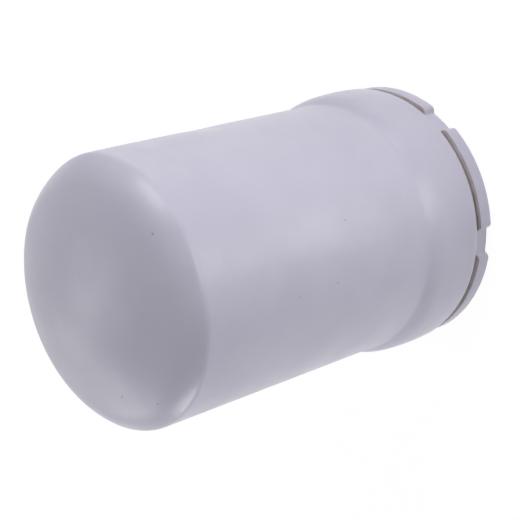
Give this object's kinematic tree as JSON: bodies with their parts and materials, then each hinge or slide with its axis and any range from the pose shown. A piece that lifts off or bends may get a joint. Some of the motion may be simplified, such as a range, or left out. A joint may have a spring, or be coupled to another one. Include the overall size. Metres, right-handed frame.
{
  "type": "transmission filter",
  "caption": "Spin-on transmission filter: a painted deep-drawn can with a domed end, a castellated thread collar, a pleated element and a bypass valve.",
  "frame": {"origin": "on the filter's axis, in the plane of the collar's mouth face, which it stands on", "axes": "+Z along the axis from the mouth to the dome; +X through the middle of a notch in the collar"},
  "size_m": [0.115, 0.115, 0.1773],
  "materials": {
    "can_paint": "satin pale lavender-grey paint on deep-drawn steel",
    "collar_paint": "satin pale lavender-grey paint on a turned steel ring",
    "sealant": "matt tan sealing compound",
    "black_rubber": "matt black nitrile rubber",
    "zinc_sheet": "zinc-plated pressed steel sheet",
    "tube_steel": "rolled perforated steel sheet",
    "potting": "cured yellow-brown potting compound",
    "paper": "resin-treated filter paper",
    "valve_steel": "turned plated steel",
    "spring_steel": "oiled spring wire"
  },
  "bodies": {
    "filter": {"can": "can_paint", "thread_collar": "collar_paint", "lip_sealant": "sealant", "collar_ring": "black_rubber", "face_seal": "black_rubber", "flow_plate": "zinc_sheet", "mouth_cap": "zinc_sheet", "outlet_grommet": "black_rubber", "mouth_potting": "potting", "centre_tube": "tube_steel", "pleated_media": "paper", "seam_clip": "zinc_sheet", "dome_potting": "potting", "dome_cap": "zinc_sheet", "bypass_seat": "valve_steel", "bypass_cage": "zinc_sheet", "bypass_spring": "spring_steel", "element_spring": "spring_steel", "spring_cup": "zinc_sheet"},
    "poppet": {"bypass_poppet": "valve_steel", "poppet_washer": "black_rubber"}
  },
  "joints": [
    {"name": "bypass_slide", "type": "slide", "parent": "filter", "child": "poppet", "axis": [0, 0, 1], "range_m": [-0.004, 0], "stiffness_N_per_m": 900, "springref_m": 0.002, "deforming": ["bypass_spring"]}
  ]
}
